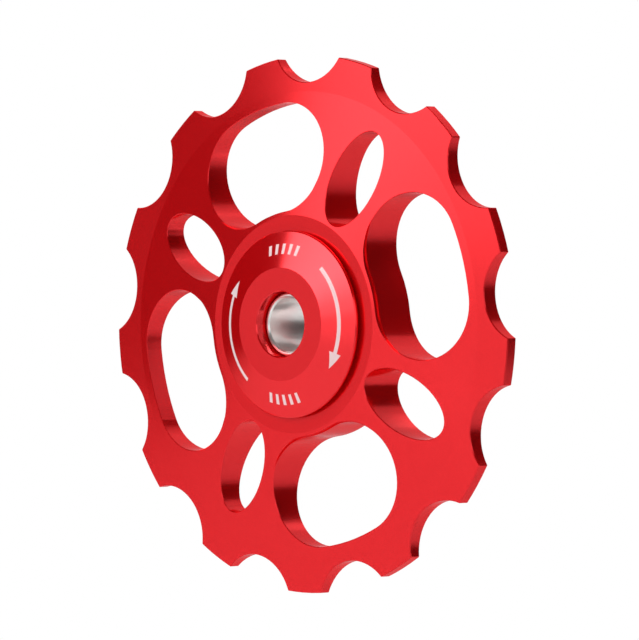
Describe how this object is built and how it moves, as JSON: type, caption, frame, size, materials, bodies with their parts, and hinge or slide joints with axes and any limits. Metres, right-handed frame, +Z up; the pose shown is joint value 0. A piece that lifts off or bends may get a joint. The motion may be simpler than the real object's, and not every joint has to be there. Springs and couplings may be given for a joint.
{
  "type": "derailleur pulley",
  "caption": "Red anodised aluminium jockey wheel with round tooth gaps, curved and oval web windows, dust caps and a sealed ball bearing on a centre sleeve for an axle bolt.",
  "frame": {"origin": "middle of the sleeve's bore, midway between the outer faces of the two caps", "axes": "+Y along the axle from the front face to the rear face, +Z up as pictured, +X to the right seen from the front"},
  "size_m": [0.0504, 0.0082, 0.0501],
  "materials": {
    "wheel_red": "satin red anodised, milled and turned",
    "cap_red": "satin red anodised, turned, with white laser-etched marks",
    "sleeve_steel": "bright turned steel",
    "bearing_steel": "ground bearing steel",
    "ball_steel": "polished bearing steel",
    "cage_nylon": "moulded brown nylon",
    "seal_rubber": "black nitrile rubber bonded to a steel washer"
  },
  "bodies": {
    "axle_set": {"centre_sleeve": "sleeve_steel", "bearing_inner_ring": "bearing_steel", "front_cap": "cap_red", "rear_cap": "cap_red"},
    "wheel": {"toothed_wheel": "wheel_red", "bearing_outer_ring": "bearing_steel", "front_seal": "seal_rubber", "rear_seal": "seal_rubber"},
    "cage": {"ball_cage": "cage_nylon"},
    "ball_1": {"ball_1": "ball_steel"},
    "ball_2": {"ball_2": "ball_steel"},
    "ball_3": {"ball_3": "ball_steel"},
    "ball_4": {"ball_4": "ball_steel"},
    "ball_5": {"ball_5": "ball_steel"},
    "ball_6": {"ball_6": "ball_steel"},
    "ball_7": {"ball_7": "ball_steel"}
  },
  "joints": [
    {"name": "wheel_spin", "type": "hinge", "parent": "axle_set", "child": "wheel", "pos_m": [0, 0, 0], "axis": [0, 1, 0], "continuous": true},
    {"name": "cage_spin", "type": "hinge", "parent": "axle_set", "child": "cage", "pos_m": [0, 0, 0], "axis": [0, 1, 0], "continuous": true},
    {"name": "ball_1_roll", "type": "hinge", "parent": "cage", "child": "ball_1", "pos_m": [0, 0, 0.00475], "axis": [0, 1, 0], "continuous": true},
    {"name": "ball_2_roll", "type": "hinge", "parent": "cage", "child": "ball_2", "pos_m": [0.00371, 0, 0.00296], "axis": [0, 1, 0], "continuous": true},
    {"name": "ball_3_roll", "type": "hinge", "parent": "cage", "child": "ball_3", "pos_m": [0.00463, 0, -0.00106], "axis": [0, 1, 0], "continuous": true},
    {"name": "ball_4_roll", "type": "hinge", "parent": "cage", "child": "ball_4", "pos_m": [0.00206, 0, -0.00428], "axis": [0, 1, 0], "continuous": true},
    {"name": "ball_5_roll", "type": "hinge", "parent": "cage", "child": "ball_5", "pos_m": [-0.00206, 0, -0.00428], "axis": [0, 1, 0], "continuous": true},
    {"name": "ball_6_roll", "type": "hinge", "parent": "cage", "child": "ball_6", "pos_m": [-0.00463, 0, -0.00106], "axis": [0, 1, 0], "continuous": true},
    {"name": "ball_7_roll", "type": "hinge", "parent": "cage", "child": "ball_7", "pos_m": [-0.00371, 0, 0.00296], "axis": [0, 1, 0], "continuous": true}
  ],
  "couplings": [
    {"joint": "cage_spin", "follows": "wheel_spin", "ratio": 0.62526},
    {"joint": "ball_1_roll", "follows": "wheel_spin", "ratio": 1.8705},
    {"joint": "ball_2_roll", "follows": "wheel_spin", "ratio": 1.8705},
    {"joint": "ball_3_roll", "follows": "wheel_spin", "ratio": 1.8705},
    {"joint": "ball_4_roll", "follows": "wheel_spin", "ratio": 1.8705},
    {"joint": "ball_5_roll", "follows": "wheel_spin", "ratio": 1.8705},
    {"joint": "ball_6_roll", "follows": "wheel_spin", "ratio": 1.8705},
    {"joint": "ball_7_roll", "follows": "wheel_spin", "ratio": 1.8705}
  ]
}
